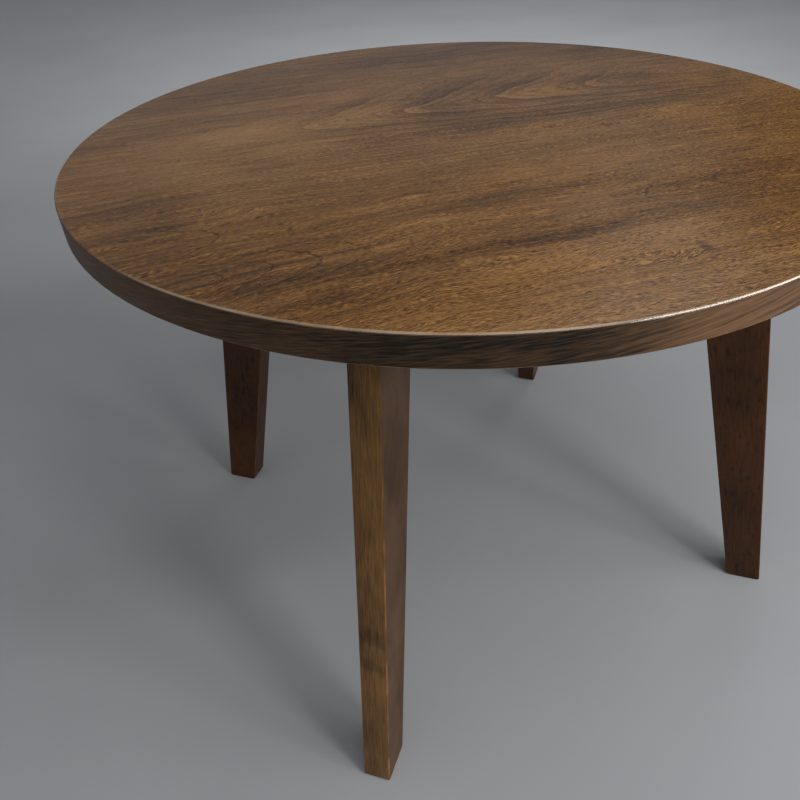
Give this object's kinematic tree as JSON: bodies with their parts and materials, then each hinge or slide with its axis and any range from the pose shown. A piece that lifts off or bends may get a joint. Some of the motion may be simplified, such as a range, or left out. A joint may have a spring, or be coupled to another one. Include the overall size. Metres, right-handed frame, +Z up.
{
  "type": "round cocktail table",
  "caption": "Low round wooden table: a veneered disc top with a plain chamfered rim on tapered, outward-leaning plank legs joined to lapped cross rails under the top.",
  "frame": {"origin": "on the floor, under the middle of the round top", "axes": "+Z up; a leg stands on each half of the X and Y axes, with leg_front at -Y, leg_right at +X, leg_back at +Y and leg_left at -X"},
  "size_m": [0.61, 0.61, 0.437],
  "materials": {
    "face_veneer": "walnut-stained veneer under satin lacquer",
    "edge_band": "dark-stained solid edge band under satin lacquer",
    "leg_wood": "dark-stained hardwood under satin lacquer",
    "rail_wood": "planed hardwood, thinly stained",
    "backing_veneer": "plain backing veneer, sealed",
    "core_wood": "bare sawn softwood and crossband veneer, hidden inside the top",
    "dowel_wood": "bare beech, hidden in the joints",
    "screw_steel": "bright slotted steel wood screws"
  },
  "bodies": {
    "root": {"face_veneer": "face_veneer", "upper_crossband": "core_wood", "core_stave_1": "core_wood", "core_stave_2": "core_wood", "core_stave_3": "core_wood", "core_stave_4": "core_wood", "core_stave_5": "core_wood", "core_stave_6": "core_wood", "core_stave_7": "core_wood", "core_stave_8": "core_wood", "lower_crossband": "core_wood", "backing_veneer": "backing_veneer", "edge_band_front": "edge_band", "edge_band_back": "edge_band", "cross_rail_x": "rail_wood", "cross_rail_y": "rail_wood", "leg_front": "leg_wood", "leg_right": "leg_wood", "leg_back": "leg_wood", "leg_left": "leg_wood", "leg_dowels": "dowel_wood", "rail_screws": "screw_steel"}
  },
  "joints": []
}
